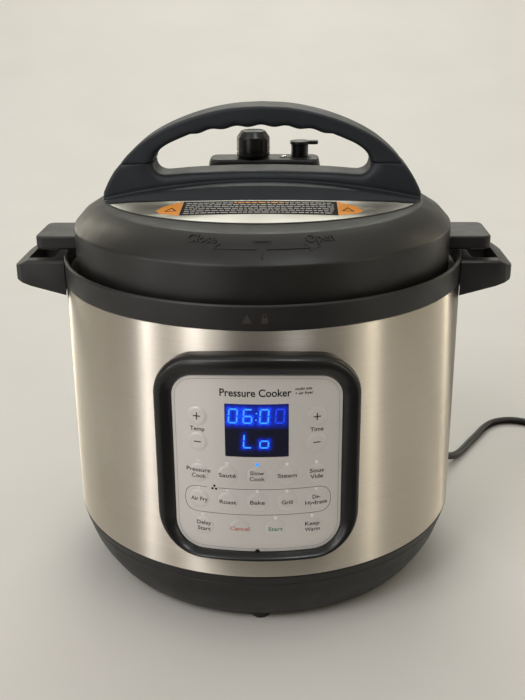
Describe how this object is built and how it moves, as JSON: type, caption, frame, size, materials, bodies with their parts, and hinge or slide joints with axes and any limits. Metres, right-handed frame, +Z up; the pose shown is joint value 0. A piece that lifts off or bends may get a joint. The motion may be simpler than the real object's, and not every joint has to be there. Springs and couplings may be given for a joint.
{
  "type": "electric pressure cooker",
  "caption": "Round steel electric pressure cooker with a domed black twist lid, arched lid handle, side handles, keypad with blue display, inner pot and mains lead.",
  "frame": {"origin": "on the floor, on the axis of the inner pot", "axes": "+Z up, the control panel faces -Y, +X to the right of someone facing the panel"},
  "size_m": [0.5512, 0.387, 0.3586],
  "materials": {
    "black_plastic": "moulded black plastic, fine satin texture",
    "lid_plastic": "moulded black plastic, fine satin texture",
    "satin_black": "smooth satin black plastic",
    "handle_slate": "fine-textured slate black plastic",
    "brushed_steel": "stainless steel, brushed round the body",
    "pot_steel": "fine-spun stainless steel",
    "aluminium": "cast and pressed aluminium",
    "spring_steel": "polished steel",
    "circuit_board": "green solder mask",
    "clear_plastic": "frosted plastic",
    "panel_silver": "silver-grey printed film",
    "display_black": "dark blue-black window",
    "white_plastic": "white moulded plastic",
    "rubber": "moulded rubber",
    "cord_rubber": "smooth flexible lead jacket",
    "silicone": "translucent silicone",
    "ink_dark": "printed dark grey",
    "ink_red": "printed red",
    "ink_green": "printed green",
    "label_orange": "printed orange",
    "label_grey": "printed light grey",
    "lamp_clear": "unlit lamp window",
    "plug_brass": "plug pins",
    "display_blue": "lit blue segments"
  },
  "bodies": {
    "base": {"base_housing": "black_plastic", "bottom_cover": "black_plastic", "foot_front": "rubber", "foot_right": "rubber", "foot_back": "rubber", "foot_left": "rubber", "outer_shell": "brushed_steel", "top_ring": "black_plastic", "side_handle_right": "black_plastic", "side_handle_left": "black_plastic", "inner_housing": "aluminium", "locking_flange": "pot_steel", "heating_plate": "aluminium", "sensor_spring": "spring_steel", "power_board": "circuit_board", "control_board": "circuit_board", "panel_bezel": "satin_black", "panel_face": "panel_silver", "display_window": "display_black", "display_module": "white_plastic", "mains_inlet": "black_plastic", "strain_relief": "cord_rubber", "power_cord": "cord_rubber", "cord_coil": "cord_rubber", "plug": "cord_rubber"},
    "pot": {"inner_pot": "pot_steel"},
    "lid_seal": {"sealing_ring": "silicone", "ring_rack": "spring_steel"},
    "lid": {"lid_cover": "lid_plastic", "lid_plate": "brushed_steel", "inner_lid": "pot_steel", "lid_handle_lower": "handle_slate", "lid_handle_upper": "handle_slate", "steam_pipe": "spring_steel", "anti_block_shield": "pot_steel"},
    "steam_valve": {"steam_release_valve": "satin_black"},
    "float_pin": {"float_valve": "spring_steel"},
    "release_button": {"quick_release_button": "satin_black"},
    "sensor": {"temperature_sensor": "aluminium"},
    "collector": {"condensation_collector": "clear_plastic"},
    "key_temp_up_body": {"key_temp_up": "panel_silver"},
    "key_time_up_body": {"key_time_up": "panel_silver"},
    "key_temp_down_body": {"key_temp_down": "panel_silver"},
    "key_time_down_body": {"key_time_down": "panel_silver"},
    "key_pressure_cook_body": {"key_pressure_cook": "panel_silver"},
    "key_saute_body": {"key_saute": "panel_silver"},
    "key_slow_cook_body": {"key_slow_cook": "panel_silver"},
    "key_steam_body": {"key_steam": "panel_silver"},
    "key_sous_vide_body": {"key_sous_vide": "panel_silver"},
    "key_air_fry_body": {"key_air_fry": "panel_silver"},
    "key_roast_body": {"key_roast": "panel_silver"},
    "key_bake_body": {"key_bake": "panel_silver"},
    "key_grill_body": {"key_grill": "panel_silver"},
    "key_dehydrate_body": {"key_dehydrate": "panel_silver"},
    "key_delay_start_body": {"key_delay_start": "panel_silver"},
    "key_cancel_body": {"key_cancel": "panel_silver"},
    "key_start_body": {"key_start": "panel_silver"},
    "key_keep_warm_body": {"key_keep_warm": "panel_silver"}
  },
  "joints": [
    {"name": "pot_lift", "type": "slide", "parent": "base", "child": "pot", "axis": [0, 0, 1], "range_m": [0, 0.2]},
    {"name": "lid_lift", "type": "slide", "parent": "pot", "child": "lid_seal", "axis": [0, 0, 1], "range_m": [0, 0.12]},
    {"name": "lid_turn", "type": "hinge", "parent": "lid_seal", "child": "lid", "pos_m": [0, 0, 0.25], "axis": [0, 0, 1], "range_deg": [0, 30]},
    {"name": "steam_valve_lift", "type": "slide", "parent": "lid", "child": "steam_valve", "axis": [0, 0, 1], "range_m": [0, 0.025]},
    {"name": "float_rise", "type": "slide", "parent": "lid", "child": "float_pin", "axis": [0, 0, 1], "range_m": [0, 0.005]},
    {"name": "release_press", "type": "slide", "parent": "lid", "child": "release_button", "axis": [0, 0, -1], "range_m": [0, 0.004], "stiffness_N_per_m": 400},
    {"name": "sensor_press", "type": "slide", "parent": "base", "child": "sensor", "axis": [0, 0, -1], "range_m": [0, 0.003], "stiffness_N_per_m": 900, "deforming": ["sensor_spring"]},
    {"name": "collector_pull", "type": "slide", "parent": "base", "child": "collector", "axis": [0, 1, 0], "range_m": [0, 0.04]},
    {"name": "key_temp_up_press", "type": "slide", "parent": "base", "child": "key_temp_up_body", "axis": [0.2542, 0.9671, 0], "range_m": [0, 0.0004], "stiffness_N_per_m": 600},
    {"name": "key_time_up_press", "type": "slide", "parent": "base", "child": "key_time_up_body", "axis": [-0.2542, 0.9671, 0], "range_m": [0, 0.0004], "stiffness_N_per_m": 600},
    {"name": "key_temp_down_press", "type": "slide", "parent": "base", "child": "key_temp_down_body", "axis": [0.2542, 0.9671, 0], "range_m": [0, 0.0004], "stiffness_N_per_m": 600},
    {"name": "key_time_down_press", "type": "slide", "parent": "base", "child": "key_time_down_body", "axis": [-0.2542, 0.9671, 0], "range_m": [0, 0.0004], "stiffness_N_per_m": 600},
    {"name": "key_pressure_cook_press", "type": "slide", "parent": "base", "child": "key_pressure_cook_body", "axis": [0.2548, 0.967, 0], "range_m": [0, 0.0004], "stiffness_N_per_m": 600},
    {"name": "key_saute_press", "type": "slide", "parent": "base", "child": "key_saute_body", "axis": [0.1285, 0.9917, 0], "range_m": [0, 0.0004], "stiffness_N_per_m": 600},
    {"name": "key_slow_cook_press", "type": "slide", "parent": "base", "child": "key_slow_cook_body", "axis": [0, 1, 0], "range_m": [0, 0.0004], "stiffness_N_per_m": 600},
    {"name": "key_steam_press", "type": "slide", "parent": "base", "child": "key_steam_body", "axis": [-0.1285, 0.9917, 0], "range_m": [0, 0.0004], "stiffness_N_per_m": 600},
    {"name": "key_sous_vide_press", "type": "slide", "parent": "base", "child": "key_sous_vide_body", "axis": [-0.2548, 0.967, 0], "range_m": [0, 0.0004], "stiffness_N_per_m": 600},
    {"name": "key_air_fry_press", "type": "slide", "parent": "base", "child": "key_air_fry_body", "axis": [0.2548, 0.967, 0], "range_m": [0, 0.0004], "stiffness_N_per_m": 600},
    {"name": "key_roast_press", "type": "slide", "parent": "base", "child": "key_roast_body", "axis": [0.1285, 0.9917, 0], "range_m": [0, 0.0004], "stiffness_N_per_m": 600},
    {"name": "key_bake_press", "type": "slide", "parent": "base", "child": "key_bake_body", "axis": [0, 1, 0], "range_m": [0, 0.0004], "stiffness_N_per_m": 600},
    {"name": "key_grill_press", "type": "slide", "parent": "base", "child": "key_grill_body", "axis": [-0.1285, 0.9917, 0], "range_m": [0, 0.0004], "stiffness_N_per_m": 600},
    {"name": "key_dehydrate_press", "type": "slide", "parent": "base", "child": "key_dehydrate_body", "axis": [-0.2548, 0.967, 0], "range_m": [0, 0.0004], "stiffness_N_per_m": 600},
    {"name": "key_delay_start_press", "type": "slide", "parent": "base", "child": "key_delay_start_body", "axis": [0.2375, 0.9714, 0], "range_m": [0, 0.0004], "stiffness_N_per_m": 600},
    {"name": "key_cancel_press", "type": "slide", "parent": "base", "child": "key_cancel_body", "axis": [0.0788, 0.9969, 0], "range_m": [0, 0.0004], "stiffness_N_per_m": 600},
    {"name": "key_start_press", "type": "slide", "parent": "base", "child": "key_start_body", "axis": [-0.0775, 0.997, 0], "range_m": [0, 0.0004], "stiffness_N_per_m": 600},
    {"name": "key_keep_warm_press", "type": "slide", "parent": "base", "child": "key_keep_warm_body", "axis": [-0.2381, 0.9712, 0], "range_m": [0, 0.0004], "stiffness_N_per_m": 600}
  ]
}
